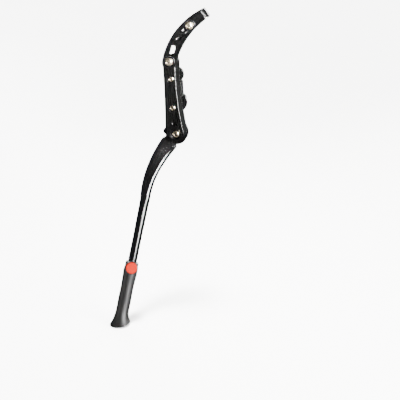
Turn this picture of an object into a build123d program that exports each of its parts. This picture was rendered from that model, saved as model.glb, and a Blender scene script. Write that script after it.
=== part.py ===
from math import cos, radians, sin, tan
import os

from build123d import *

os.makedirs("parts", exist_ok=True)

# A kickstand that clamps to a chainstay and steadies itself on the seatstay.
# X runs rearward along the chainstay, Z is up and Y points inboard.
# "out" is a distance outboard of the chainstay's axis, towards -Y. Sizes are in mm.

# Fits
running_gap = 0.05
moving_gap = 0.3
bolt_gap = 0.1
hex_sides = 6
quarter_turn = 90.0

# Chainstay clamp
stay_r = 12.5
pad_min = 2.0
pad_width = 20.0
pad_half_height = 11.8
pad_edge_round = 1.0
clamp_pitch = 43.0
clamp_screw_r = 2.5
clamp_hole_r = clamp_screw_r + bolt_gap
clamp_head_r = 4.25
clamp_head_height = 2.7
clamp_head_round = 1.6
clamp_recess_r = 5.0
clamp_recess_depth = 3.0
clamp_socket_flats = 3.0
clamp_socket_depth = 1.8
seat_out = stay_r + pad_min

# Bracket outline, seen from outboard
bracket_depth = 12.0
face_out = seat_out + bracket_depth
arm_x = 0.0
arm_z = 49.0
pivot_x = 2.5
pivot_z = -61.5
top_r = 12.0
top_drop = 2.5
ear_r = 16.6
left_lean = 1.0
right_lean = 3.0
stop_lug = (-12.4, -58.0)
stop_lug_r = 4.9
bevel = 4.7
ridge_round = 0.9
pocket_width = 9.6
pocket_height = 18.6
pocket_round = 3.4
pocket_centre = (2.4, -38.5)
pocket_tilt = -7.0
pocket_depth = 3.2
pocket_edge_round = 0.6

# Clevis that holds the leg
rear_ear_r = 16.4
rear_ear_thick = 5.0
slot_width = 8.2
slot_back_out = 12.0
slot_front_out = slot_back_out + slot_width
rear_face_out = slot_back_out - rear_ear_thick
clevis_back_centre = (0.5, -43.0)
clevis_back_r = 12.0
pivot_out = slot_back_out + slot_width / 2
pivot_bolt_r = 3.0
pivot_head_r = 5.25
pivot_head_height = 3.3
pivot_head_round = 2.2
pivot_socket_flats = 4.0
pivot_socket_depth = 2.2
pivot_recess_r = 6.5
pivot_recess_depth = 4.0
pivot_recess_bevel = 2.0
bush_r = 6.0
bush_flat_depth = 0.6
nut_flats = 10.0
nut_height = 5.0
bolt_end = 1.5
seat_bolt_spare = 6.0

# Leg
swing = 105.0
knuckle_r = 13.6
knuckle_thick = slot_width - 2 * moving_gap
root_angle = 39.0
root_width = 21.0
root_round = 2.4
root_start = 5.0
root_end = 17.6
shoulder_length = 1.6
swing_margin = 0.4
far = 70.0
bend_a = (-25.5, -24.0, -98.7)
bend_b = (-36.7, -36.0, -120.4)
bend_a_share = 1 / 3
bend_b_share = 2 / 3
rod_top = (-44.6, -51.5, -155.0)
shoulder_size = (22.8, 10.2, 3.4)
body_size = (25.4, 12.8, 4.6)
upper_size = (22.2, 13.0, 4.8)
middle_size = (18.0, 13.4, 5.2)
neck_size = (14.6, 13.8, 5.4)
shaft_r = 7.15
shaft_change = 12.0
rod_r = 6.75
rod_blend = 0.02
lean_side = 11.55
lean_out = 20.0
rod_taper_length = 55.0
rod_length = 150.0
button_station = 105.0

# Detent inside the leg's root
detent_bore_r = 2.5
plunger_r = 2.4
plunger_length = 5.0
plunger_nose = 0.8
detent_depth = 20.0
detent_spring_r = 1.9
detent_wire_r = 0.35
detent_turns = 5
wire_sides = 6

# Foot, in its own upright frame at the button's level
rod_gap = 0.3
foot_turn = 13.0
oval_flat = 0.4
housing_width = 20.3
housing_front = 12.6
housing_back = 13.4
collar_height = 8.3
collar_step = 0.4
collar_bevel = 1.0
sleeve_bevel = 0.7
sleeve_bore_depth = 76.0
upper_level = 21.0
upper_section = (19.9, 23.0)
middle_level = 42.0
middle_section = (19.6, 21.4)
waist_level = 62.0
waist_section = (19.6, 20.6)
flare_level = 75.0
flare_section = (21.6, 22.8)
sole_level = 85.5
sole_section = (30.6, 28.6)
flare_share = 0.55
sole_side_tilt = 17.0
sole_front_tilt = 20.0
sole_thick = 1.6
sole_round = 0.7
bezel_r = 9.8
bezel_front = 13.3
bezel_depth = 6.5
button_r = 8.4
button_front = 15.4
button_back = 10.6
button_round = 1.3
button_travel = 2.0
button_well = 14.0
button_well_r = 2.6
button_floor = 8.3
button_spring_r = 1.9
button_wire_r = 0.3
button_spring_offset = 4.4
button_turns = 4

# Lock plate around the rod, and the teeth it meets
plate_thick = 2.0
plate_half_width = 8.4
plate_rim = 2.0
plate_back_round = 6.5
plate_front_round = 4.0
plate_gap = 0.3
notch_pitch = 4.5
notch_height = 1.6
notch_depth = 0.9
notch_count = 15
notch_first = -40.0

# Upper arm
arm_thick = 6.0
arm_outer_start = (-10.8, 49.8)
arm_outer_mid = (16.7, 99.4)
arm_outer_end = (53.2, 124.6)
arm_inner_start = (6.0, 30.0)
arm_inner_mid = (28.0, 82.1)
arm_inner_end = (61.8, 112.3)
arm_edge_round = 1.5
slot_wide = 6.6
low_slot_length = 21.5
low_slot_lean = 19.0
high_slot_length = 24.0
high_slot_lean = 42.0

# Arm and seatstay bolts
m6_r = 3.0
m6_hole_r = m6_r + bolt_gap
flange_r = 6.0
flange_height = 1.3
dome_r = 4.9
dome_height = 2.7
dome_round = 1.7
m6_socket_flats = 4.0
m6_socket_depth = 2.3
washer_r = 8.2
washer_thick = 1.0

# Seatstay hook and jaw, measured along the arm's end from the hook's outer face
seat_stay_r = 8.5
lining = 1.8
hook_thick = 4.5
hook_tip_out = 20.5
hook_bend_round = 7.5
hook_spare = 2.0
lining_step = 1.0
hook_tip_round = 2.5
lining_reach = 20.0
lining_tip_out = 21.0
jaw_width = 14.0
jaw_thick = 5.0
jaw_end = 8.2
jaw_round = 2.0
jaw_edge_round = 0.8
heel_near = 13.5
heel_far = 29.5
heel_r = 6.0
jaw_pad_start = 8.8
jaw_pad_end = 21.2
jaw_pad_top_out = 10.2
bolt_station = 30.7

# Rear clamp plate
upper_lug_r = 12.0
lower_lug_r = 15.0
plate_waist = 15.0
plate_body = 5.0
plate_bow_half = pad_half_height + bolt_gap
plate_bow_back = 14.2
plate_lug_half = 14.4
plate_lug_back = 17.0
plate_lug_out = 9.0
clamp_nut_flats = 8.0
clamp_nut_height = 4.0
clamp_nut_sink = 2.0
clamp_screw_end = 24.0

# Derived places
top_z = arm_z - top_drop
left_top = (arm_x - top_r, top_z)
right_top = (arm_x + top_r, top_z)
ear_bottom = (pivot_x, pivot_z - ear_r)
screw_places = [(0, clamp_pitch / 2), (0, -clamp_pitch / 2)]
down = Vector(-sin(radians(root_angle)), -cos(radians(root_angle)))
stowed = down.rotate(Axis.Z, swing)
pivot_point = Vector(pivot_x, pivot_z)
reach = root_width / 2 + swing_margin
front_normal = down.rotate(Axis.Z, -quarter_turn) * reach
rear_normal = stowed.rotate(Axis.Z, quarter_turn) * reach
slot_corners = [
    pivot_point,
    pivot_point + front_normal,
    pivot_point + front_normal + down * far,
    pivot_point + (down + stowed) * far,
    pivot_point + rear_normal + stowed * far,
    pivot_point + rear_normal,
]
root_dir = Vector(down.X, 0, down.Y)
pivot_3d = Vector(pivot_x, -pivot_out, pivot_z)
rod_dir = Vector(-tan(radians(lean_side)), -tan(radians(lean_out)), -1).normalized()
inboard = Vector(0, 1, 0)
foot_plane = Plane(
    origin=Vector(*rod_top) + rod_dir * button_station,
    x_dir=rod_dir.cross(inboard).rotate(Axis((0, 0, 0), -rod_dir), foot_turn),
    z_dir=-rod_dir,
)
foot_place = foot_plane.location
hook_end = (Vector(*arm_outer_end) + Vector(*arm_inner_end)) / 2
hook_half = (Vector(*arm_outer_end) - Vector(*arm_inner_end)).length / 2
stay_way = (Vector(*arm_inner_end) - Vector(*arm_outer_end)).normalized()
arm_way = stay_way.rotate(Axis.Z, quarter_turn)
hook_plane = Plane(
    origin=(hook_end.X, 0, hook_end.Y),
    x_dir=(arm_way.X, 0, arm_way.Y),
    z_dir=(stay_way.X, 0, stay_way.Y),
)
seat_stay_along = -(hook_thick + lining + seat_stay_r)
seat_stay_out = face_out - lining - seat_stay_r
jaw_face_out = seat_stay_out - seat_stay_r - lining
jaw_back_out = jaw_face_out - jaw_thick
seat_bolt = hook_end - arm_way * bolt_station
front_out = face_out + arm_thick
low_slot_way = Vector(sin(radians(low_slot_lean)), cos(radians(low_slot_lean)))
high_slot_way = Vector(sin(radians(high_slot_lean)), cos(radians(high_slot_lean)))
low_slot_centre = Vector(arm_x, arm_z) + low_slot_way * (low_slot_length / 2)
high_slot_centre = seat_bolt - high_slot_way * (high_slot_length / 2)
rod_bore_r = rod_r + rod_gap
housing_depth = housing_front + housing_back
housing_shift = (housing_back - housing_front) / 2
hook_inner_round = hook_bend_round - hook_thick
arm_span = (Vector(*arm_outer_end) - Vector(*arm_inner_start)).length
plate_back = rod_r + plate_gap + plate_rim
cavity_back = plate_back + button_travel + moving_gap
cavity_front = button_back + moving_gap
cavity_half_width = plate_half_width + moving_gap
cavity_half_height = plate_thick / 2 + moving_gap


def front(out):
    """The view plane from outboard, at a distance out from the chainstay's axis."""
    return Plane.XZ.offset(out)


def flank_end(start, way, lean):
    """Where a flank that starts beside the top end and leans in meets the ear smoothly."""
    side = Vector(way * cos(radians(lean)), -sin(radians(lean)))
    offset = Vector(*start) - pivot_point
    flank_r = (offset.length**2 - ear_r**2) / (2 * (ear_r - offset.dot(side)))
    centre = offset + side * flank_r
    return pivot_point + centre * (ear_r / (ear_r + flank_r))


def along(point, way):
    """A plane across the leg, its x across the leg and its y outboard."""
    return Plane(origin=point, x_dir=way.cross(inboard), z_dir=way)


def oval(width, depth):
    """A rounded section that keeps a short flat on its narrow ends."""
    RectangleRounded(width, depth, min(width, depth) / 2 - oval_flat)


def save(shape, label):
    """Names a finished piece and writes its file."""
    shape.label = label
    export_step(shape, f"parts/{label}.step")


left_start = (sin(radians(left_lean)), -cos(radians(left_lean)))
right_start = (-sin(radians(right_lean)), -cos(radians(right_lean)))
ear_left = flank_end(left_top, -1, left_lean)
ear_right = flank_end(right_top, 1, right_lean)

# The cast bracket: bevelled body, screw recesses, clevis with the leg's slot
with BuildPart() as bracket:
    with BuildSketch(front(seat_out)):
        with BuildLine():
            ThreePointArc(left_top, (arm_x, top_z + top_r), right_top)
            TangentArc(left_top, ear_left, tangent=left_start)
            ThreePointArc(ear_left, ear_bottom, ear_right)
            TangentArc(right_top, ear_right, tangent=right_start)
        make_face()
    extrude(amount=bracket_depth)
    chamfer(bracket.faces().sort_by(Axis.Y)[0].edges(), bevel)
    fillet(bracket.faces().sort_by(Axis.Y)[0].edges(), ridge_round)
    with BuildSketch(front(face_out)):
        with Locations(pocket_centre):
            RectangleRounded(pocket_width, pocket_height, pocket_round, rotation=pocket_tilt)
    extrude(amount=-pocket_depth, mode=Mode.SUBTRACT)
    pocket_floor = bracket.faces().filter_by(Axis.Y).sort_by_distance(
        (pocket_centre[0], pocket_depth - face_out, pocket_centre[1])
    )[0]
    fillet(pocket_floor.edges(), pocket_edge_round)
    with BuildSketch(front(rear_face_out)):
        with Locations((pivot_x, pivot_z)):
            Circle(rear_ear_r)
        with Locations(clevis_back_centre):
            Circle(clevis_back_r)
        make_hull()
    extrude(amount=seat_out - rear_face_out)
    with BuildSketch(front(rear_face_out)):
        with Locations(stop_lug):
            Circle(stop_lug_r)
    extrude(amount=slot_front_out - rear_face_out)
    with BuildSketch(front(slot_back_out)):
        Polygon(*slot_corners, align=None)
        with Locations((pivot_x, pivot_z)):
            Circle(knuckle_r + swing_margin)
    extrude(amount=slot_width, mode=Mode.SUBTRACT)
    with BuildSketch(front(rear_face_out)):
        with Locations((pivot_x, pivot_z)):
            Circle(pivot_bolt_r + bolt_gap)
    extrude(amount=face_out - rear_face_out, mode=Mode.SUBTRACT)
    with BuildSketch(front(face_out)):
        with Locations((pivot_x, pivot_z)):
            Circle(pivot_recess_r)
    extrude(amount=-pivot_recess_depth, mode=Mode.SUBTRACT)
    rim = bracket.faces().sort_by(Axis.Y)[0].edges().filter_by(GeomType.CIRCLE)
    chamfer(rim.sort_by_distance((pivot_x, -face_out, pivot_z))[0], pivot_recess_bevel)
    with BuildSketch(front(seat_out)):
        with Locations(*screw_places):
            Circle(clamp_hole_r)
        with Locations((arm_x, arm_z)):
            Circle(m6_hole_r)
    extrude(amount=bracket_depth, mode=Mode.SUBTRACT)
    with BuildSketch(front(face_out)):
        with Locations(*screw_places):
            Circle(clamp_recess_r)
    extrude(amount=-clamp_recess_depth, mode=Mode.SUBTRACT)
    with BuildSketch(front(seat_out)):
        with Locations((arm_x, arm_z)):
            RegularPolygon(nut_flats / 2 + bolt_gap, hex_sides, major_radius=False)
    extrude(amount=nut_height, mode=Mode.SUBTRACT)
save(bracket.part, "bracket")

# Rubber saddles between the clamp and the chainstay
with BuildPart() as front_stay_pad:
    with BuildSketch(front(0)):
        RectangleRounded(pad_width, 2 * pad_half_height, pad_edge_round)
    extrude(amount=seat_out)
    with BuildSketch(Plane.YZ):
        Circle(stay_r)
    extrude(amount=pad_width, both=True, mode=Mode.SUBTRACT)
save(front_stay_pad.part, "front_stay_pad")

with BuildPart() as rear_stay_pad:
    with BuildSketch(front(0)):
        RectangleRounded(pad_width, 2 * pad_half_height, pad_edge_round)
    extrude(amount=-seat_out)
    with BuildSketch(Plane.YZ):
        Circle(stay_r)
    extrude(amount=pad_width, both=True, mode=Mode.SUBTRACT)
save(rear_stay_pad.part, "rear_stay_pad")

# Bowed rear clamp plate, wide round lugs and a narrower middle
with BuildPart() as rear_clamp_plate:
    with BuildSketch(Plane.YZ):
        with BuildLine():
            Polyline(
                (seat_out, 0),
                (seat_out, plate_bow_half),
                (plate_lug_out, plate_lug_half),
                (plate_lug_out, clamp_pitch / 2 + lower_lug_r),
                (plate_lug_out + plate_body, clamp_pitch / 2 + lower_lug_r),
                (plate_lug_out + plate_body, plate_lug_back),
                (seat_out + plate_body, plate_bow_back),
                (seat_out + plate_body, 0),
                close=True,
            )
        make_face()
        mirror(about=Plane.XZ)
    extrude(amount=lower_lug_r, both=True)
    with BuildSketch(front(0)):
        with Locations(screw_places[0]):
            Circle(upper_lug_r)
        with Locations(screw_places[1]):
            Circle(lower_lug_r)
        Rectangle(plate_waist, clamp_pitch)
    extrude(amount=-2 * seat_out, mode=Mode.INTERSECT)
    with BuildSketch(front(0)):
        with Locations(*screw_places):
            Circle(clamp_hole_r)
    extrude(amount=-2 * seat_out, mode=Mode.SUBTRACT)
    with BuildSketch(front(-(plate_lug_out + plate_body))):
        with Locations(*screw_places):
            RegularPolygon(clamp_nut_flats / 2 + bolt_gap, hex_sides, major_radius=False)
    extrude(amount=clamp_nut_sink, mode=Mode.SUBTRACT)
save(rear_clamp_plate.part, "rear_clamp_plate")

# Clamp screws, sunk flush in the bracket's face
clamp_seat_out = face_out - clamp_recess_depth
with BuildPart() as clamp_screws:
    with BuildSketch(front(clamp_seat_out)):
        with Locations(*screw_places):
            Circle(clamp_head_r)
    extrude(amount=clamp_head_height)
    domes = clamp_screws.edges().group_by(Axis.Y)[0]
    fillet(domes, clamp_head_round)
    with BuildSketch(front(-clamp_screw_end)):
        with Locations(*screw_places):
            Circle(clamp_screw_r)
    extrude(amount=clamp_screw_end + clamp_seat_out)
    with BuildSketch(front(clamp_seat_out + clamp_head_height)):
        with Locations(*screw_places):
            RegularPolygon(clamp_socket_flats / 2, hex_sides, major_radius=False)
    extrude(amount=-clamp_socket_depth, mode=Mode.SUBTRACT)
save(clamp_screws.part, "clamp_screws")

clamp_nut_out = -(plate_lug_out + plate_body - clamp_nut_sink)
with BuildPart() as clamp_nuts:
    with BuildSketch(front(clamp_nut_out)):
        with Locations(*screw_places):
            RegularPolygon(clamp_nut_flats / 2, hex_sides, major_radius=False)
            Circle(clamp_screw_r + running_gap, mode=Mode.SUBTRACT)
    extrude(amount=-clamp_nut_height)
save(clamp_nuts.part, "clamp_nuts")

# Pivot: bolt, bush with two flats for the detent, and nut
pivot_seat_out = face_out - pivot_recess_depth
with BuildPart() as pivot_bolt:
    with BuildSketch(front(pivot_seat_out)):
        with Locations((pivot_x, pivot_z)):
            Circle(pivot_head_r)
    extrude(amount=pivot_head_height)
    fillet(pivot_bolt.edges().group_by(Axis.Y)[0], pivot_head_round)
    with BuildSketch(front(rear_face_out - nut_height - bolt_end)):
        with Locations((pivot_x, pivot_z)):
            Circle(pivot_bolt_r)
    extrude(amount=pivot_seat_out - rear_face_out + nut_height + bolt_end)
    with BuildSketch(front(pivot_seat_out + pivot_head_height)):
        with Locations((pivot_x, pivot_z)):
            RegularPolygon(pivot_socket_flats / 2, hex_sides, major_radius=False)
    extrude(amount=-pivot_socket_depth, mode=Mode.SUBTRACT)
save(pivot_bolt.part, "pivot_bolt")

flat_middle = bush_r - bush_flat_depth + bush_r
with BuildPart() as pivot_bush:
    with BuildSketch(front(slot_back_out)):
        with Locations((pivot_x, pivot_z)):
            Circle(bush_r)
            Circle(pivot_bolt_r + running_gap, mode=Mode.SUBTRACT)
        with Locations(pivot_point + down * flat_middle):
            Rectangle(2 * bush_r, 2 * bush_r, rotation=-root_angle, mode=Mode.SUBTRACT)
        with Locations(pivot_point + stowed * flat_middle):
            Rectangle(2 * bush_r, 2 * bush_r, rotation=swing - root_angle, mode=Mode.SUBTRACT)
    extrude(amount=slot_width)
save(pivot_bush.part, "pivot_bush")

with BuildPart() as pivot_nut:
    with BuildSketch(front(rear_face_out)):
        with Locations((pivot_x, pivot_z)):
            RegularPolygon(nut_flats / 2, hex_sides, major_radius=False)
            Circle(pivot_bolt_r + running_gap, mode=Mode.SUBTRACT)
    extrude(amount=-nut_height)
save(pivot_nut.part, "pivot_nut")

# Leg: flat knuckle, a thick shoulder, a root that bends outboard while it narrows, a round rod
neck_point = Vector(*rod_top)
bend_path = Spline(
    pivot_3d + root_dir * (root_end + shoulder_length),
    Vector(*bend_a),
    Vector(*bend_b),
    neck_point,
    tangents=[root_dir, rod_dir],
)
with BuildPart() as leg:
    with BuildSketch(front(pivot_out - knuckle_thick / 2)):
        with Locations((pivot_x, pivot_z)):
            Circle(knuckle_r)
    extrude(amount=knuckle_thick)
    with BuildSketch(along(pivot_3d + root_dir * root_start, root_dir)):
        RectangleRounded(root_width, knuckle_thick, root_round)
    extrude(amount=root_end + shoulder_length - root_start)
    with BuildSketch(along(pivot_3d + root_dir * root_end, root_dir)):
        RectangleRounded(*shoulder_size)
    with BuildSketch(along(bend_path @ 0, root_dir)):
        RectangleRounded(*body_size)
    loft()
    with BuildSketch(along(bend_path @ 0, root_dir)):
        RectangleRounded(*body_size)
    with BuildSketch(along(bend_path @ bend_a_share, bend_path % bend_a_share)):
        RectangleRounded(*upper_size)
    with BuildSketch(along(bend_path @ bend_b_share, bend_path % bend_b_share)):
        RectangleRounded(*middle_size)
    with BuildSketch(along(neck_point, rod_dir)):
        RectangleRounded(*neck_size)
    loft()
    with BuildSketch(along(neck_point, rod_dir)):
        RectangleRounded(*neck_size)
    with BuildSketch(along(neck_point + rod_dir * shaft_change, rod_dir)):
        RectangleRounded(2 * shaft_r, 2 * shaft_r, shaft_r - rod_blend)
    loft()
    with BuildSketch(along(neck_point + rod_dir * shaft_change, rod_dir)):
        RectangleRounded(2 * shaft_r, 2 * shaft_r, shaft_r - rod_blend)
    with BuildSketch(along(neck_point + rod_dir * rod_taper_length, rod_dir)):
        RectangleRounded(2 * rod_r, 2 * rod_r, rod_r - rod_blend)
    loft()
    with BuildSketch(along(neck_point + rod_dir * rod_taper_length, rod_dir)):
        RectangleRounded(2 * rod_r, 2 * rod_r, rod_r - rod_blend)
    extrude(amount=rod_length - rod_taper_length)
    with BuildSketch(front(pivot_out - knuckle_thick)):
        with Locations((pivot_x, pivot_z)):
            Circle(bush_r + running_gap)
    extrude(amount=2 * knuckle_thick, mode=Mode.SUBTRACT)
    with BuildSketch(along(pivot_3d, root_dir)):
        Circle(detent_bore_r)
    extrude(amount=detent_depth, mode=Mode.SUBTRACT)
    notches = [
        foot_place * Location((0, rod_r, notch_first + step * notch_pitch))
        for step in range(notch_count)
    ]
    with Locations(*notches):
        Box(2 * rod_r, 2 * notch_depth, notch_height, mode=Mode.SUBTRACT)
save(leg.part, "leg")

# Detent: a plunger pushed at the bush by a spring, both inside the leg's root
plunger_foot = bush_r + 2 * running_gap
with BuildPart() as detent_plunger:
    with BuildSketch(along(pivot_3d + root_dir * plunger_foot, root_dir)):
        Circle(plunger_r)
    extrude(amount=plunger_length)
    nose = detent_plunger.faces().sort_by_distance(pivot_3d)[0]
    chamfer(nose.edges(), plunger_nose)
save(detent_plunger.part, "detent_plunger")

detent_rest = plunger_foot + plunger_length + detent_wire_r
detent_height = detent_depth - detent_wire_r - detent_rest
with BuildPart() as detent_spring:
    with BuildLine() as detent_coil:
        Helix(detent_height / detent_turns, detent_height, detent_spring_r)
    with BuildSketch(Plane(origin=detent_coil.line @ 0, z_dir=detent_coil.line % 0)):
        RegularPolygon(detent_wire_r, wire_sides)
    sweep(path=detent_coil.line, is_frenet=True)
save(along(pivot_3d + root_dir * detent_rest, root_dir).location * detent_spring.part, "detent_spring")

# Foot pieces stand upright on their own frame, then take their place on the rod
with BuildSketch() as lock_room:
    with Locations((0, (cavity_back - cavity_front) / 2)):
        Rectangle(2 * cavity_half_width, cavity_back + cavity_front)
    fillet(lock_room.vertices().group_by(Axis.Y)[-1], plate_back_round + moving_gap)
    fillet(lock_room.vertices().group_by(Axis.Y)[0], plate_front_round + moving_gap)

with BuildPart() as lock_collar:
    with BuildSketch():
        with Locations((0, housing_shift)):
            oval(housing_width - 2 * collar_step, housing_depth - 2 * collar_step)
    extrude(amount=collar_height)
    chamfer(lock_collar.faces().sort_by(Axis.Z)[-1].edges(), collar_bevel)
    with BuildSketch(Plane.XZ.offset(bezel_front)):
        Circle(bezel_r)
        with Locations((0, -bezel_r)):
            Rectangle(2 * bezel_r, 2 * bezel_r, mode=Mode.SUBTRACT)
    extrude(amount=-bezel_depth)
    with BuildSketch():
        Circle(rod_bore_r)
    extrude(amount=collar_height, mode=Mode.SUBTRACT)
    with BuildSketch(Plane.XZ.offset(button_floor)):
        Circle(button_r + moving_gap)
    extrude(amount=housing_depth, mode=Mode.SUBTRACT)
    extrude(lock_room.sketch, amount=cavity_half_height, mode=Mode.SUBTRACT)
save(foot_place * lock_collar.part, "lock_collar")

turned_back = (0, 0, -foot_turn)
sole_tilt = (sole_front_tilt, -sole_side_tilt, 0)
flare_tilt = (sole_front_tilt * flare_share, -sole_side_tilt * flare_share, 0)
sole_plane = Plane.XY.offset(-sole_level).rotated(sole_tilt).rotated(turned_back)
flare_plane = Plane.XY.offset(-flare_level).rotated(flare_tilt).rotated(turned_back)
with BuildPart() as foot_sleeve:
    with BuildSketch():
        with Locations((0, housing_shift)):
            oval(housing_width - 2 * sleeve_bevel, housing_depth - 2 * sleeve_bevel)
    with BuildSketch(Plane.XY.offset(-sleeve_bevel)):
        with Locations((0, housing_shift)):
            oval(housing_width, housing_depth)
    loft()
    with BuildSketch(Plane.XY.offset(-sleeve_bevel)):
        with Locations((0, housing_shift)):
            oval(housing_width, housing_depth)
    with BuildSketch(Plane.XY.offset(-upper_level)):
        oval(*upper_section)
    with BuildSketch(Plane.XY.offset(-middle_level)):
        oval(*middle_section)
    with BuildSketch(Plane.XY.offset(-waist_level)):
        oval(*waist_section)
    with BuildSketch(flare_plane):
        oval(*flare_section)
    with BuildSketch(sole_plane):
        oval(*sole_section)
    loft()
    with BuildSketch(sole_plane):
        oval(*sole_section)
    extrude(amount=-sole_thick)
    sole = foot_sleeve.faces().filter_by(GeomType.PLANE).sort_by(SortBy.AREA)[-1]
    fillet(sole.edges(), sole_round)
    with BuildSketch(Plane.XZ.offset(bezel_front)):
        Circle(bezel_r)
        with Locations((0, bezel_r)):
            Rectangle(2 * bezel_r, 2 * bezel_r, mode=Mode.SUBTRACT)
    extrude(amount=-bezel_depth)
    with BuildSketch():
        Circle(rod_bore_r)
    extrude(amount=-sleeve_bore_depth, mode=Mode.SUBTRACT)
    with BuildSketch(Plane.XZ.offset(button_floor)):
        Circle(button_r + moving_gap)
    extrude(amount=housing_depth, mode=Mode.SUBTRACT)
    extrude(lock_room.sketch, amount=-cavity_half_height, mode=Mode.SUBTRACT)
save(foot_place * foot_sleeve.part, "foot_sleeve")

spring_places = [(0, button_spring_offset), (0, -button_spring_offset)]
with BuildPart() as release_button:
    with BuildSketch(Plane.XZ.offset(button_back)):
        Circle(button_r)
    extrude(amount=button_front - button_back)
    fillet(release_button.edges().group_by(Axis.Y)[0], button_round)
    with BuildSketch(Plane.XZ.offset(button_back)):
        with Locations(*spring_places):
            Circle(button_well_r)
    extrude(amount=button_well - button_back, mode=Mode.SUBTRACT)
save(foot_place * release_button.part, "release_button")

window_r = rod_r + plate_gap
window_front = button_travel + moving_gap
with BuildPart() as lock_plate:
    with BuildSketch(Plane.XY.offset(-plate_thick / 2)) as plate_outline:
        with Locations((0, (plate_back - button_back) / 2)):
            Rectangle(2 * plate_half_width, plate_back + button_back)
        fillet(plate_outline.vertices().group_by(Axis.Y)[-1], plate_back_round)
        fillet(plate_outline.vertices().group_by(Axis.Y)[0], plate_front_round)
        with Locations((0, -window_front / 2)):
            SlotCenterToCenter(window_front, 2 * window_r, rotation=quarter_turn, mode=Mode.SUBTRACT)
    extrude(amount=plate_thick)
save(foot_place * lock_plate.part, "lock_plate")

button_spring_height = button_well - button_floor - 2 * button_wire_r
button_pitch = button_spring_height / button_turns
spring_start = -(button_well - button_wire_r)
with BuildPart() as button_springs:
    for place in spring_places:
        with BuildLine() as button_coil:
            Helix(
                button_pitch,
                button_spring_height,
                button_spring_r,
                center=(0, spring_start, place[1]),
                direction=(0, 1, 0),
            )
        with BuildSketch(Plane(origin=button_coil.line @ 0, z_dir=button_coil.line % 0)):
            RegularPolygon(button_wire_r, wire_sides)
        sweep(path=button_coil.line, is_frenet=True)
save(foot_place * button_springs.part, "button_springs")

# Upper arm: a curved flat bar with two slots, its tip bent back into a hook
with BuildPart() as upper_arm:
    with BuildSketch(front(hook_tip_out)):
        with BuildLine():
            outer = ThreePointArc(arm_outer_end, arm_outer_mid, arm_outer_start)
            inner = ThreePointArc(arm_inner_start, arm_inner_mid, arm_inner_end, mode=Mode.PRIVATE)
            end = DoubleTangentArc(outer @ 1, outer % 1, inner)
            ThreePointArc(end @ 1, arm_inner_mid, arm_inner_end)
            Polyline(
                arm_inner_end,
                Vector(*arm_inner_end) + arm_way * hook_spare,
                Vector(*arm_outer_end) + arm_way * hook_spare,
                arm_outer_end,
            )
        make_face()
    extrude(amount=front_out - hook_tip_out)
    with BuildSketch(hook_plane) as hook_profile:
        with BuildLine():
            Polyline(
                (0, hook_tip_out),
                (0, front_out),
                (-arm_span - far, front_out),
                (-arm_span - far, face_out),
                (-hook_thick, face_out),
                (-hook_thick, hook_tip_out),
                close=True,
            )
        make_face()
        fillet(hook_profile.vertices().sort_by_distance((0, front_out))[0], hook_bend_round)
        fillet(hook_profile.vertices().sort_by_distance((-hook_thick, face_out))[0], hook_inner_round)
    extrude(amount=far, both=True, mode=Mode.INTERSECT)
    tip = upper_arm.faces().sort_by(Axis.Y)[-1]
    fillet(tip.edges().filter_by(GeomType.CIRCLE), hook_tip_round)
    front_face = upper_arm.faces().sort_by(Axis.Y)[0]
    fillet(front_face.edges().filter_by(GeomType.CIRCLE), arm_edge_round)
    with BuildSketch(front(face_out)):
        with Locations(low_slot_centre):
            SlotCenterToCenter(low_slot_length, slot_wide, rotation=quarter_turn - low_slot_lean)
        with Locations(high_slot_centre):
            SlotCenterToCenter(high_slot_length, slot_wide, rotation=quarter_turn - high_slot_lean)
    extrude(amount=arm_thick, mode=Mode.SUBTRACT)
save(upper_arm.part, "upper_arm")

with BuildPart() as arm_washer:
    with BuildSketch(front(front_out)):
        with Locations((arm_x, arm_z)):
            Circle(washer_r)
            Circle(m6_hole_r, mode=Mode.SUBTRACT)
    extrude(amount=washer_thick)
save(arm_washer.part, "arm_washer")

head_out = front_out + washer_thick
with BuildPart() as arm_bolt:
    with BuildSketch(front(head_out)):
        with Locations((arm_x, arm_z)):
            Circle(flange_r)
    extrude(amount=flange_height)
    with BuildSketch(front(head_out + flange_height)):
        with Locations((arm_x, arm_z)):
            Circle(dome_r)
    extrude(amount=dome_height)
    fillet(arm_bolt.edges().group_by(Axis.Y)[0], dome_round)
    with BuildSketch(front(seat_out)):
        with Locations((arm_x, arm_z)):
            Circle(m6_r)
    extrude(amount=head_out - seat_out)
    with BuildSketch(front(head_out + flange_height + dome_height)):
        with Locations((arm_x, arm_z)):
            RegularPolygon(m6_socket_flats / 2, hex_sides, major_radius=False)
    extrude(amount=-m6_socket_depth, mode=Mode.SUBTRACT)
save(arm_bolt.part, "arm_bolt")

with BuildPart() as arm_nut:
    with BuildSketch(front(seat_out)):
        with Locations((arm_x, arm_z)):
            RegularPolygon(nut_flats / 2, hex_sides, major_radius=False)
            Circle(m6_r + running_gap, mode=Mode.SUBTRACT)
    extrude(amount=nut_height)
save(arm_nut.part, "arm_nut")

# Seatstay clamp: rubber lining in the hook, jaw with its own pad, bolt and nut
with BuildPart() as hook_pad:
    with BuildSketch(hook_plane) as lining_profile:
        with Locations((-hook_thick - lining_reach / 2, (lining_tip_out + face_out) / 2)):
            Rectangle(lining_reach, face_out - lining_tip_out)
        fillet(lining_profile.vertices().sort_by_distance((-hook_thick, face_out))[0], hook_inner_round)
        with Locations((seat_stay_along, seat_stay_out)):
            Circle(seat_stay_r, mode=Mode.SUBTRACT)
    extrude(amount=hook_half - lining_step, both=True)
save(hook_pad.part, "hook_pad")

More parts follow.
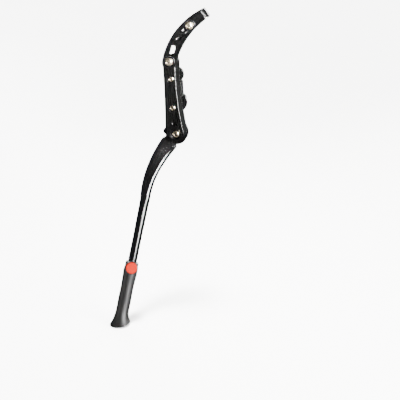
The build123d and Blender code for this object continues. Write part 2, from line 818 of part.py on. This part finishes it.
heel_places = [
    seat_bolt - high_slot_way * (heel_near + heel_r),
    seat_bolt - high_slot_way * (heel_far - heel_r),
]
jaw_corner = hook_end - arm_way * (jaw_end + jaw_round)
jaw_corner_side = stay_way * (jaw_width / 2 - jaw_round)
with BuildPart() as seatstay_jaw:
    with BuildSketch(front(jaw_back_out)):
        with Locations(jaw_corner + jaw_corner_side, jaw_corner - jaw_corner_side):
            Circle(jaw_round)
        with Locations(*heel_places):
            Circle(heel_r)
        make_hull()
    extrude(amount=jaw_thick)
    fillet(seatstay_jaw.faces().sort_by(Axis.Y)[-1].edges(), jaw_edge_round)
    with BuildSketch(front(jaw_face_out)):
        with Locations(*heel_places):
            Circle(heel_r)
        make_hull()
    extrude(amount=face_out - moving_gap - jaw_face_out)
    with BuildSketch(front(jaw_back_out)):
        with Locations(seat_bolt):
            Circle(m6_hole_r)
    extrude(amount=jaw_thick, mode=Mode.SUBTRACT)
save(seatstay_jaw.part, "seatstay_jaw")

with BuildPart() as jaw_pad:
    with BuildSketch(hook_plane):
        with Locations(
            (-(jaw_pad_start + jaw_pad_end) / 2, (jaw_face_out + jaw_pad_top_out) / 2)
        ):
            Rectangle(jaw_pad_end - jaw_pad_start, jaw_pad_top_out - jaw_face_out)
        with Locations((seat_stay_along, seat_stay_out)):
            Circle(seat_stay_r, mode=Mode.SUBTRACT)
    extrude(amount=jaw_width / 2 - jaw_round, both=True)
save(jaw_pad.part, "jaw_pad")

with BuildPart() as seatstay_washer:
    with BuildSketch(front(front_out)):
        with Locations(seat_bolt):
            Circle(washer_r)
            Circle(m6_hole_r, mode=Mode.SUBTRACT)
    extrude(amount=washer_thick)
save(seatstay_washer.part, "seatstay_washer")

seat_bolt_end = jaw_back_out - nut_height - seat_bolt_spare
with BuildPart() as seatstay_bolt:
    with BuildSketch(front(head_out)):
        with Locations(seat_bolt):
            Circle(flange_r)
    extrude(amount=flange_height)
    with BuildSketch(front(head_out + flange_height)):
        with Locations(seat_bolt):
            Circle(dome_r)
    extrude(amount=dome_height)
    fillet(seatstay_bolt.edges().group_by(Axis.Y)[0], dome_round)
    with BuildSketch(front(seat_bolt_end)):
        with Locations(seat_bolt):
            Circle(m6_r)
    extrude(amount=head_out - seat_bolt_end)
    with BuildSketch(front(head_out + flange_height + dome_height)):
        with Locations(seat_bolt):
            RegularPolygon(m6_socket_flats / 2, hex_sides, major_radius=False)
    extrude(amount=-m6_socket_depth, mode=Mode.SUBTRACT)
save(seatstay_bolt.part, "seatstay_bolt")

with BuildPart() as seatstay_nut:
    with BuildSketch(front(jaw_back_out)):
        with Locations(seat_bolt):
            RegularPolygon(nut_flats / 2, hex_sides, major_radius=False)
            Circle(m6_r + running_gap, mode=Mode.SUBTRACT)
    extrude(amount=-nut_height)
save(seatstay_nut.part, "seatstay_nut")
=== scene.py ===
from math import cos, pi, radians, sin, tau

import bpy
from mathutils import Matrix, Vector


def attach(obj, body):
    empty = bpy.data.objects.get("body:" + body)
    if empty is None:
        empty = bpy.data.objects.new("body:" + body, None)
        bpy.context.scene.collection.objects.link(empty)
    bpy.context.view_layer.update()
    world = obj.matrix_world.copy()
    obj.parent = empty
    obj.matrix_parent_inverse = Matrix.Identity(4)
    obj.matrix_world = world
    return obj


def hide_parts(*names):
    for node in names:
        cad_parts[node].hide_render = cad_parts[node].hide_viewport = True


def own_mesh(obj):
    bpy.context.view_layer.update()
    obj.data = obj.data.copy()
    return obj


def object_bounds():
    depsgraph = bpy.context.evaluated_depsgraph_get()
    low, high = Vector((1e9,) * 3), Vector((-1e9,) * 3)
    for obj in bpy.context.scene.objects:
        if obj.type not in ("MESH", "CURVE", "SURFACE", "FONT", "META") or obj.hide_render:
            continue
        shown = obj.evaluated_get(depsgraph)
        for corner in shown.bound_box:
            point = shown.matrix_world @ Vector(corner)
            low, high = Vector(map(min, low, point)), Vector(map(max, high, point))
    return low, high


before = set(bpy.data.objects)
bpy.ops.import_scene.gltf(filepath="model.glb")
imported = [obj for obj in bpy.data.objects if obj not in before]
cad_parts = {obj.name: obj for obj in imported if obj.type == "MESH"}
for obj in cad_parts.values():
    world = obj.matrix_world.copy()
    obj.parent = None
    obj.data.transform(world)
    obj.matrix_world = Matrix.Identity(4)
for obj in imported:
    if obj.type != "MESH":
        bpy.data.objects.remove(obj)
cad_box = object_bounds()

MM = 0.001
scene = bpy.context.scene


# Shader helpers

def srgb(text):
    """An sRGB hex colour as linear red, green, blue and alpha."""
    parts = [int(text[i:i + 2], 16) / 255 for i in (1, 3, 5)]
    return [p / 12.92 if p <= 0.04045 else ((p + 0.055) / 1.055) ** 2.4 for p in parts] + [1.0]


def wire(tree, made, wires):
    """Sets a node's inputs to values, or links them to other nodes' outputs."""
    for name, value in wires.items():
        if isinstance(value, bpy.types.NodeSocket):
            tree.links.new(value, made.inputs[name])
        else:
            made.inputs[name].default_value = value


def node(tree, kind, wires, **settings):
    """Adds one shader node with its settings and its inputs."""
    made = tree.nodes.new(kind)
    for name, value in settings.items():
        setattr(made, name, value)
    wire(tree, made, wires)
    return made


def start(name):
    """A new material: its node tree, its shader and the piece's own coordinates in millimetres."""
    made = bpy.data.materials.new(name)
    made.use_nodes = True
    tree = made.node_tree
    place = node(tree, "ShaderNodeTexCoord", {}).outputs["Object"]
    in_mm = node(tree, "ShaderNodeVectorMath", {0: place, "Scale": 1 / MM}, operation="SCALE")
    return made, tree, tree.nodes["Principled BSDF"], in_mm.outputs["Vector"]


def every(size):
    """The scale of a pattern that repeats about once in a size in millimetres."""
    return 1 / size


# Materials, one for each slot of the record

def coated(name, dark, light, roughness, skin, depth, shine, edge=0.4):
    """Paint or moulding: faint clouds in the colour, a skin of that grain and depth, and softened edges, in mm."""
    made, tree, shader, place = start(name)
    cloud = node(tree, "ShaderNodeTexNoise", {"Vector": place, "Scale": every(9.0), "Detail": 3.0})
    tint = node(
        tree, "ShaderNodeMix", {"Factor": cloud.outputs["Fac"], 6: srgb(dark), 7: srgb(light)}, data_type="RGBA",
    )
    # Specks in a coat are finer than this; they are drawn at 0.9 mm to show in a close view
    dust = node(tree, "ShaderNodeTexNoise", {"Vector": place, "Scale": every(0.9), "Detail": 2.0})
    dulled = node(
        tree, "ShaderNodeMapRange",
        {
            "Value": dust.outputs["Fac"], "From Min": 0.4, "From Max": 0.75,
            "To Min": roughness, "To Max": roughness + 0.06,
        },
    )
    grain = node(tree, "ShaderNodeTexNoise", {"Vector": place, "Scale": every(skin), "Detail": 1.0})
    soft = node(tree, "ShaderNodeBevel", {"Radius": edge * MM}, samples=6)
    bump = node(
        tree, "ShaderNodeBump",
        {"Height": grain.outputs["Fac"], "Strength": 1.0, "Distance": depth * MM, "Normal": soft.outputs["Normal"]},
    )
    wire(tree, shader, {
        "Base Color": tint.outputs[2], "Roughness": dulled.outputs["Result"], "Normal": bump.outputs["Normal"],
        "Specular IOR Level": shine,
    })
    return made


def turned_steel(name, dark, light, roughness, pitch):
    """Plated steel from a lathe: rings about the piece's own axis, a pitch apart, and painted shade with old oil
    darkening its hollows.
    """
    made, tree, shader, place = start(name)
    cloud = node(tree, "ShaderNodeTexNoise", {"Vector": place, "Scale": every(2.5), "Detail": 3.0})
    tint = node(
        tree, "ShaderNodeMix", {"Factor": cloud.outputs["Fac"], 6: srgb(dark), 7: srgb(light)}, data_type="RGBA",
    )
    # Painted shade: occlusion darkens the colour to a dark brown in sockets and hollows, standing in for their shadow
    # as well as old oil
    cavity = node(tree, "ShaderNodeAmbientOcclusion", {"Distance": 3.0 * MM}, samples=8)
    clean_and_unshaded = node(tree, "ShaderNodeMapRange", {"Value": cavity.outputs["AO"], "From Min": 0.5, "From Max": 0.9})
    oiled_and_shaded = node(
        tree, "ShaderNodeMix",
        {"Factor": clean_and_unshaded.outputs["Result"], 6: srgb("#16120d"), 7: tint.outputs[2]}, data_type="RGBA",
    )
    # At scale 1 the rings lie tau / 20 apart
    rings = node(
        tree, "ShaderNodeTexWave", {"Vector": place, "Scale": tau / 20 * every(pitch), "Distortion": 0.4},
        wave_type="RINGS", rings_direction="Z",
    )
    soft = node(tree, "ShaderNodeBevel", {"Radius": 0.15 * MM}, samples=6)
    bump = node(
        tree, "ShaderNodeBump",
        {"Height": rings.outputs["Fac"], "Distance": 0.004 * MM, "Normal": soft.outputs["Normal"]},
    )
    dulled = node(
        tree, "ShaderNodeMapRange",
        {"Value": cloud.outputs["Fac"], "To Min": roughness, "To Max": roughness + 0.12},
    )
    wire(tree, shader, {
        "Base Color": oiled_and_shaded.outputs[2], "Metallic": 1.0, "Roughness": dulled.outputs["Result"],
        "Normal": bump.outputs["Normal"],
    })
    return made


def drawn_steel(name, dark, light, roughness, grain):
    """Ground, drawn or blackened steel: marks of that size in mm along the piece's three axes."""
    made, tree, shader, place = start(name)
    along = node(
        tree, "ShaderNodeVectorMath", {0: place, 1: [every(size) for size in grain]}, operation="MULTIPLY",
    )
    marks = node(tree, "ShaderNodeTexNoise", {"Vector": along.outputs["Vector"], "Scale": 1.0, "Detail": 2.0})
    tint = node(
        tree, "ShaderNodeMix", {"Factor": marks.outputs["Fac"], 6: srgb(dark), 7: srgb(light)}, data_type="RGBA",
    )
    dulled = node(
        tree, "ShaderNodeMapRange",
        {"Value": marks.outputs["Fac"], "To Min": roughness, "To Max": roughness + 0.15},
    )
    soft = node(tree, "ShaderNodeBevel", {"Radius": 0.2 * MM}, samples=6)
    wire(tree, shader, {
        "Base Color": tint.outputs[2], "Metallic": 1.0, "Roughness": dulled.outputs["Result"],
        "Normal": soft.outputs["Normal"],
    })
    return made


MATERIALS = {
    # Stoving levels the paint: nearly black faces, a soft light along each ridge, faint orange peel
    "cast_black_paint": coated(
        "stoved_black_paint_on_die_casting", "#010101", "#020202", roughness=0.20, skin=1.4, depth=0.002, shine=0.1,
    ),
    # A thin coat follows the smooth pressed plate: dark faces with narrow lights on the edges
    "clamp_black_paint": coated(
        "thin_black_paint_on_pressed_plate", "#010101", "#030303", roughness=0.15, skin=0.8, depth=0.003, shine=0.2,
    ),
    # The forging is polished before the paint, so the round rod carries one clean bright streak
    "leg_black_paint": coated(
        "stoved_black_paint_on_polished_forging", "#020202", "#040404",
        roughness=0.12, skin=2.0, depth=0.002, shine=0.45,
    ),
    # Flat bar gives flat dark faces, and a bright band where it bends
    "arm_black_paint": coated(
        "stoved_black_paint_on_bent_bar", "#010101", "#020202", roughness=0.07, skin=1.6, depth=0.001, shine=0.7,
    ),
    # Moulded rubber takes the blasted face of its mould: no lights, only a grey bloom. The grit's pits are about
    # 0.1 mm wide; they are drawn at 0.5 mm to show in a close view
    "stay_rubber": coated(
        "matt_rubber_from_blasted_mould", "#060606", "#0b0b0b", roughness=0.8, skin=0.5, depth=0.02, shine=0.08,
    ),
    # Glass fibres and a spark-cut mould break the light into a broad soft sheen. The sparks' pits are about 0.1 mm
    # wide; they are drawn at 0.6 mm to show in a close view
    "foot_nylon": coated(
        "glass_filled_nylon_from_spark_cut_mould", "#040404", "#070706",
        roughness=0.46, skin=0.6, depth=0.02, shine=0.35,
    ),
    # The collar's mould is smoother, so its rim shows a thin clear line. Its grain is drawn coarser, as on the foot
    "collar_nylon": coated(
        "nylon_from_smooth_mould", "#0b0b0c", "#111112", roughness=0.30, skin=0.6, depth=0.004, shine=0.5,
    ),
    # Dyed plastic is one strong warm colour. Its gloss is held low, because white light on it washes the red out
    "red_button": coated(
        "dyed_plastic_from_polished_mould", "#700a00", "#780d00",
        roughness=0.38, skin=1.2, depth=0.003, shine=0.05, edge=0.7,
    ),
    # Lathe rings draw the light into a fan on each head, and zinc-nickel makes it warm. Real rings are about
    # 0.08 mm apart; they are drawn at 0.25 mm to show in a close view
    "plated_screw": turned_steel(
        "zinc_nickel_plate_on_turned_steel", "#a4987f", "#c4b9a3", roughness=0.20, pitch=0.25,
    ),
    # Bright zinc is cooler and a little cloudy. The rings are drawn coarser than life, as on the screws
    "plated_nut": turned_steel(
        "bright_zinc_plate_on_turned_steel", "#a9abad", "#c6c7c6", roughness=0.28, pitch=0.3,
    ),
    # Grinding leaves fine lines along the wheel's way that blur the lights across them. Real lines are about 0.05 mm
    # wide; they are drawn at 0.3 mm to show in a close view
    "bush_steel": drawn_steel("ground_steel", "#8b8b8d", "#a9a9aa", roughness=0.28, grain=(6.0, 0.3, 0.3)),
    # Wire pulled through a die keeps long faint streaks, drawn coarser than life, as on the bush
    "spring_steel": drawn_steel("drawn_spring_wire", "#83838a", "#a3a3a6", roughness=0.25, grain=(0.4, 1.5, 0.4)),
    # Hot oxide leaves a blue-black skin with small matt patches
    "black_washer": drawn_steel(
        "black_oxide_on_stamped_steel", "#060607", "#101012", roughness=0.32, grain=(0.7, 0.7, 0.7),
    ),
}

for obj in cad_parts.values():
    for held in obj.material_slots:
        for slot, finish in MATERIALS.items():
            if held.material and held.material.name.startswith(slot):
                held.material = finish


# Screws, nuts and springs with the threads and coils that the solids leave out

STEPS = 48


def six(flats):
    """The radius of a six-sided shape at each turn, from its width across flats, with a corner at turn zero."""
    return lambda turn: flats / 2 / cos(turn % (pi / 3) - pi / 6)


def turned(name, rings, hollow=False):
    """A mesh about +Z from rings of a radius, or a radius at each turn, and a height. A hollow one has no ends."""
    points = []
    for radius, height in rings:
        for step in range(STEPS):
            turn = tau * step / STEPS
            size = radius(turn) if callable(radius) else radius
            points.append(Vector((size * cos(turn), size * sin(turn), height)) * MM)
    faces = []
    for row in range(len(rings) if hollow else len(rings) - 1):
        low, high = row * STEPS, (row + 1) % len(rings) * STEPS
        for step in range(STEPS):
            after = (step + 1) % STEPS
            faces.append((low + step, low + after, high + after, high + step))
    if not hollow:
        faces.append(tuple(reversed(range(STEPS))))
        faces.append(tuple(range(len(points) - STEPS, len(points))))
    made = bpy.data.meshes.new(name)
    made.from_pydata(points, [], faces)
    made.shade_smooth()
    made.set_sharp_from_angle(angle=radians(35))
    return made


def thread(crest, pitch, low, high):
    """Rings of a screw thread between two heights, eight to each pitch, with a narrower tip at the low end."""
    depth = 0.6 * pitch
    rows = round((high - low) / pitch * 8)
    rings = [(crest - depth, low)]
    for row in range(rows + 1):
        height = low + 0.5 * pitch + (high - low - 0.5 * pitch) * row / rows

        def ridge(turn, height=height):
            return crest - depth * abs(2 * ((height / pitch - turn / tau) % 1) - 1)

        rings.append((ridge, height))
    return rings


def head(radius, low, high, edge, flats, deep):
    """Rings of a screw head with a rounded edge and a six-sided socket."""
    quarter = [pi / 2 * i / 8 for i in range(9)]
    dome = [(radius - edge + edge * cos(turn), high - edge + edge * sin(turn)) for turn in quarter]
    lip = 0.25
    return [(radius, low), *dome, (six(flats + lip), high), (six(flats), high - lip), (six(flats), high - deep)]


def nut(name, flats, bore, low, high):
    """A six-sided nut with its corners turned off at both ends and a countersunk bore of that radius."""
    side = six(flats)
    trim, lip = 0.12 * flats / 2, 0.4

    def end(turn):
        return min(side(turn), flats / 2)

    return turned(name, [
        (end, low), (side, low + trim), (side, high - trim), (end, high),
        (bore + lip, high), (bore, high - lip), (bore, low + lip), (bore + lip, low),
    ], hollow=True)


def fit(name, mesh, x, z, body, stands_for, slot):
    """Puts a mesh on an axis across the stand, with its +Z outboard, in place of a CAD node."""
    obj = bpy.data.objects.new(name, mesh)
    scene.collection.objects.link(obj)
    obj.matrix_world = Matrix.Translation(Vector((x, 0, z)) * MM) @ Matrix.Rotation(pi / 2, 4, "X")
    if not mesh.materials:
        mesh.materials.append(MATERIALS[slot])
    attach(obj, body)
    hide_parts(stands_for)


# Each axis across the stand by its x and z, and heights along it outboard from the chainstay's middle, in mm
ARM_BOLT = (0.0, 49.0)
SEAT_BOLT = (32.340, 100.858)
PIVOT = (2.5, -61.5)
CLAMP_REACH = 21.5
M5, M5_PITCH, M6, M6_PITCH = 2.5, 0.8, 3.0, 1.0
NUT_BORE_M5, NUT_BORE_M6 = 2.55, 3.05
HEAD_OUT, FLANGE_OUT, DOME_OUT = 33.5, 34.8, 37.5
FLANGE_R = 6.0
CLAMP_HEAD_IN, CLAMP_HEAD_OUT = 23.5, 26.2
PIVOT_HEAD_IN, PIVOT_HEAD_OUT = 22.5, 25.8


def flanged_screw(name, end):
    """An M6 screw with a low flange under its head, threaded from its end to just under the flange."""
    return turned(name, [
        *thread(M6, M6_PITCH, low=end, high=HEAD_OUT - 1.5), (M6, HEAD_OUT - 1.0), (M6, HEAD_OUT),
        (FLANGE_R, HEAD_OUT), (FLANGE_R, FLANGE_OUT - 0.3), (FLANGE_R - 0.3, FLANGE_OUT),
        *head(radius=4.9, low=FLANGE_OUT, high=DOME_OUT, edge=1.7, flats=4.0, deep=2.3),
    ])


fit("arm_screw", flanged_screw("arm_screw", end=14.5), *ARM_BOLT, "arm_pin", "arm_bolt", "plated_screw")
fit(
    "seatstay_screw", flanged_screw("seatstay_screw", end=-10.1), *SEAT_BOLT, "jaw_pin", "seatstay_bolt",
    "plated_screw",
)

clamp_screw = turned("clamp_screw", [
    *thread(M5, M5_PITCH, low=-24.0, high=8.0), (M5, 8.5), (M5, CLAMP_HEAD_IN),
    *head(radius=4.25, low=CLAMP_HEAD_IN, high=CLAMP_HEAD_OUT, edge=1.6, flats=3.0, deep=1.8),
])
clamp_nut = nut("clamp_nut", flats=8.0, bore=NUT_BORE_M5, low=-16.0, high=-12.0)
for which, z in (("upper", CLAMP_REACH), ("lower", -CLAMP_REACH)):
    fit(f"{which}_clamp_screw", clamp_screw, 0.0, z, "clamp_body", "clamp_screws", "plated_screw")
    fit(f"{which}_clamp_nut", clamp_nut, 0.0, z, "rear_clamp", "clamp_nuts", "plated_nut")

pivot_screw = turned("pivot_screw", [
    *thread(M6, M6_PITCH, low=0.5, high=9.0), (M6, 9.5), (M6, PIVOT_HEAD_IN),
    *head(radius=5.25, low=PIVOT_HEAD_IN, high=PIVOT_HEAD_OUT, edge=2.2, flats=4.0, deep=2.2),
])
pivot_lock_nut = nut("pivot_lock_nut", flats=10.0, bore=NUT_BORE_M6, low=2.0, high=7.0)
arm_lock_nut = nut("arm_lock_nut", flats=10.0, bore=NUT_BORE_M6, low=14.5, high=19.5)
jaw_nut = nut("jaw_nut", flats=10.0, bore=NUT_BORE_M6, low=-4.1, high=0.9)
fit("pivot_screw", pivot_screw, *PIVOT, "clamp_body", "pivot_bolt", "plated_screw")
fit("pivot_lock_nut", pivot_lock_nut, *PIVOT, "clamp_body", "pivot_nut", "plated_nut")
fit("arm_lock_nut", arm_lock_nut, *ARM_BOLT, "clamp_body", "arm_nut", "plated_nut")
fit("jaw_nut", jaw_nut, *SEAT_BOLT, "jaw", "seatstay_nut", "plated_nut")


def coil(name, radius, wire_r, length, turns):
    """A compression spring along +Z of round wire, its first and last turns closed up."""
    sides, rows, closed = 10, 24 * turns, 0.25
    points, faces = [], []
    for row in range(rows + 1):
        share = row / rows
        turn = tau * turns * share
        rise = min(max((share - closed / 2) / (1 - closed), 0), 1)
        height = wire_r + (length - 2 * wire_r) * (0.9 * rise + 0.1 * share)
        for step in range(sides):
            tilt = tau * step / sides
            reach = radius + wire_r * cos(tilt)
            points.append(Vector((reach * cos(turn), reach * sin(turn), height + wire_r * sin(tilt))) * MM)
    for row in range(rows):
        for step in range(sides):
            low, after = row * sides, (step + 1) % sides
            faces.append((low + step, low + sides + step, low + sides + after, low + after))
    faces.append(tuple(range(sides)))
    faces.append(tuple(reversed(range(len(points) - sides, len(points)))))
    made = bpy.data.meshes.new(name)
    made.from_pydata(points, [], faces)
    made.shade_smooth()
    return made


# The foot's own axes: x across the button, y into the housing, z up the rod
FOOT_X = Vector((0.93951, 0.21188, -0.26912))
FOOT_Y = Vector((-0.28592, 0.91776, -0.27561))
FOOT_Z = Vector((0.18859, 0.33588, 0.92283))
FOOT_AT = Vector((-64.402, -86.768, -251.897)) * MM
WELL, SPRING_LENGTH, SPRING_APART, PRESS = 14.0, 5.7, 4.4, 2.0

spring = coil("button_spring", radius=1.9, wire_r=0.3, length=SPRING_LENGTH, turns=4)
spring.materials.append(MATERIALS["spring_steel"])
for which, up in (("upper", SPRING_APART), ("lower", -SPRING_APART)):
    obj = bpy.data.objects.new(f"{which}_button_spring", spring)
    scene.collection.objects.link(obj)
    foot_end = FOOT_AT + FOOT_Z * up * MM - FOOT_Y * (WELL - SPRING_LENGTH) * MM
    facing = Matrix((FOOT_X, FOOT_Z, -FOOT_Y)).transposed().to_4x4()
    obj.matrix_world = Matrix.Translation(foot_end) @ facing
    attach(obj, "foot")
    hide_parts("button_springs")
    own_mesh(obj)

# The photograph's viewpoint
camera = bpy.data.objects.new("camera", bpy.data.cameras.new("camera"))
scene.collection.objects.link(camera)
camera.data.sensor_width = 36.0
camera.data.lens = 85.32
camera.data.clip_start = 0.05
camera.data.clip_end = 50.0
yaw, pitch, roll = radians(10.5675), radians(19.455), radians(-2.7137)
turned_to = Matrix.Rotation(yaw, 4, "Z") @ Matrix.Rotation(pi / 2 - pitch, 4, "X") @ Matrix.Rotation(roll, 4, "Z")
camera.matrix_world = Matrix.Translation((0.2836, -1.3608, 0.3149)) @ turned_to
scene.camera = camera

# A plain pale floor under soft studio light
floor_level = cad_box[0][2] - 0.5 * MM
sheet = bpy.data.meshes.new("floor")
sheet.from_pydata([(x, y, floor_level) for x, y in ((-14, -14), (14, -14), (14, 14), (-14, 14))], [], [(0, 1, 2, 3)])
floor = bpy.data.objects.new("floor", sheet)
scene.collection.objects.link(floor)
pale, tree, shader, in_mm = start("painted_pale_floor")
grime = node(tree, "ShaderNodeTexNoise", {"Vector": in_mm, "Scale": every(400.0), "Detail": 4.0})
shade = node(
    tree, "ShaderNodeMix", {"Factor": grime.outputs["Fac"], 6: srgb("#f3f3f1"), 7: srgb("#f7f7f6")}, data_type="RGBA",
)
wire(tree, shader, {"Base Color": shade.outputs[2], "Roughness": 0.9})
sheet.materials.append(pale)
# Black paint over a bright floor would turn grey, so the floor stays out of reflections
floor.visible_glossy = False

world = bpy.data.worlds.new("studio")
scene.world = world
world.use_nodes = True
wire(world.node_tree, world.node_tree.nodes["Background"], {"Color": srgb("#ffffff"), "Strength": 0.08})


def softbox(name, at, aim, width, height, power, spread, shows=True):
    """An area light with a grid that keeps its light within a spread in degrees. It shows in gloss or doesn't."""
    data = bpy.data.lights.new(name, "AREA")
    data.shape = "RECTANGLE"
    data.size = width
    data.size_y = height
    data.energy = power
    data.spread = radians(spread)
    lamp = bpy.data.objects.new(name, data)
    scene.collection.objects.link(lamp)
    lamp.location = at
    lamp.visible_glossy = shows
    lamp.rotation_euler = (Vector(aim) - Vector(at)).to_track_quat("-Z", "Y").to_euler()


def around(turn, rise, distance):
    """A place around the stand: degrees from straight in front towards the right, degrees up, and metres."""
    turn, rise = radians(turn), radians(rise)
    return distance * Vector((sin(turn) * cos(rise), -cos(turn) * cos(rise), sin(rise)))


# The streak down the rod
softbox("rod_box", around(50, 1, 1.7), (0, 0, -0.1), 0.85, 0.5, power=32, spread=70)
# The band on the arm's bend. The boxes aim above the tip, so that the bracket below it stays dark
ARM_TIP = Vector((0.055, -0.03, 0.117))
ABOVE_TIP = ARM_TIP + Vector((0, 0, 0.08))
for turn, rise in ((21, 2), (31, 8), (41, 14)):
    softbox(f"tip_box_{turn}", ARM_TIP + around(turn, rise, 1.5), ABOVE_TIP, 0.3, 0.3, power=10, spread=20)
# The bracket's left edge, and the wall of its pivot recess
softbox("left_box", around(-56, -12, 1.6), (0, 0, 0), 0.6, 0.35, power=2, spread=50)
softbox("right_box", around(76, 20, 1.6), (0, 0, 0), 0.5, 0.45, power=4, spread=50)
# The inboard side
softbox("back_left_box", around(-160, 22, 1.8), (0, 0, -0.05), 0.9, 0.7, power=13, spread=60)
softbox("back_right_box", around(150, 8, 1.8), (0, 0, -0.05), 0.5, 0.9, power=10, spread=60)
# The floor, from above. It stays out of reflections, as the floor does
softbox("wide_top_box", (0, 0, 2.4), (0, 0, 0), 24, 24, power=15500, spread=20, shows=False)
